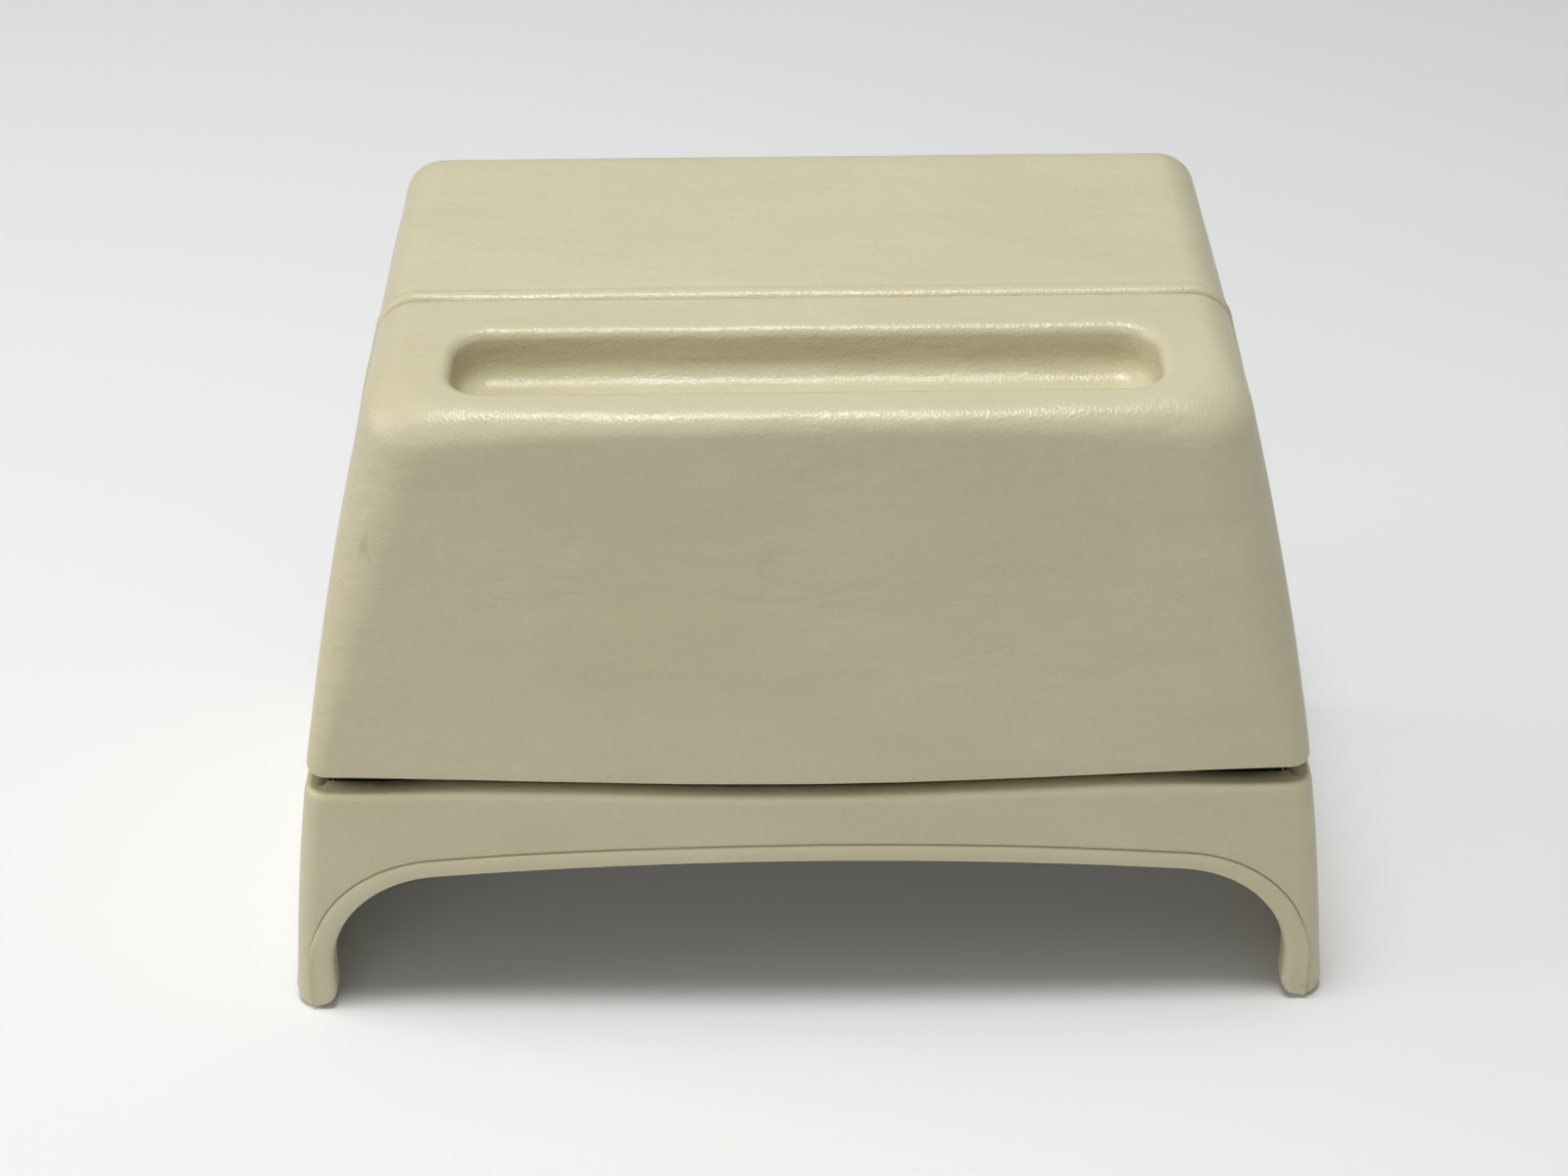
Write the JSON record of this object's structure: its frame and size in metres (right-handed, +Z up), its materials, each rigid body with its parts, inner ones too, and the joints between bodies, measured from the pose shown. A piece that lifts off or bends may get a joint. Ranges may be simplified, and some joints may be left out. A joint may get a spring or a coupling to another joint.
{
  "type": "console ash drawer",
  "caption": "Soft-skinned console end piece on two feet over a tunnel arch, with a tilt-out ash bin opened by a finger groove in its top.",
  "frame": {"origin": "bottom centre of the whole piece, on the plane that the two feet stand on", "axes": "+Z up, the tilting front faces -Y, +X to the right when facing the front"},
  "size_m": [0.15, 0.0738, 0.101],
  "materials": {
    "cream_vinyl": "fine-grained satin soft skin",
    "cream_trim": "satin rolled edge",
    "cream_moulding": "moulded, fine matt texture",
    "black_moulding": "moulded, fine matt texture",
    "pressed_steel": "pressed bright sheet",
    "spring_steel": "blued spring strip",
    "bright_steel": "bright turned steel",
    "nylon": "natural nylon",
    "plated_steel": "yellow-tinted zinc plate",
    "black_rubber": "matt rubber"
  },
  "bodies": {
    "surround": {"surround_skin": "cream_vinyl", "arch_edge_trim": "cream_trim", "surround_frame": "cream_moulding", "bin_housing": "black_moulding", "drag_spring": "spring_steel", "travel_stop_pins": "bright_steel", "left_pivot_bush": "nylon", "right_pivot_bush": "nylon", "left_mounting_bracket": "plated_steel", "right_mounting_bracket": "plated_steel", "bracket_rivets": "bright_steel", "drag_spring_rivets": "bright_steel", "housing_top_screws": "plated_steel", "housing_floor_screws": "plated_steel", "rest_buffers": "black_rubber"},
    "tilting_bin": {"front_skin": "cream_vinyl", "front_carrier": "cream_moulding", "cradle_screws": "plated_steel", "bin_cradle": "black_moulding", "ash_pan": "pressed_steel", "snuffer_bar": "pressed_steel", "pan_clip": "spring_steel", "pan_clip_rivet": "bright_steel", "left_pivot_pin": "bright_steel", "right_pivot_pin": "bright_steel", "pivot_clips": "spring_steel"}
  },
  "joints": [
    {"name": "bin_tilt", "type": "hinge", "parent": "surround", "child": "tilting_bin", "pos_m": [0, -0.02815, 0.0583], "axis": [1, 0, 0], "range_deg": [0, 45]}
  ]
}
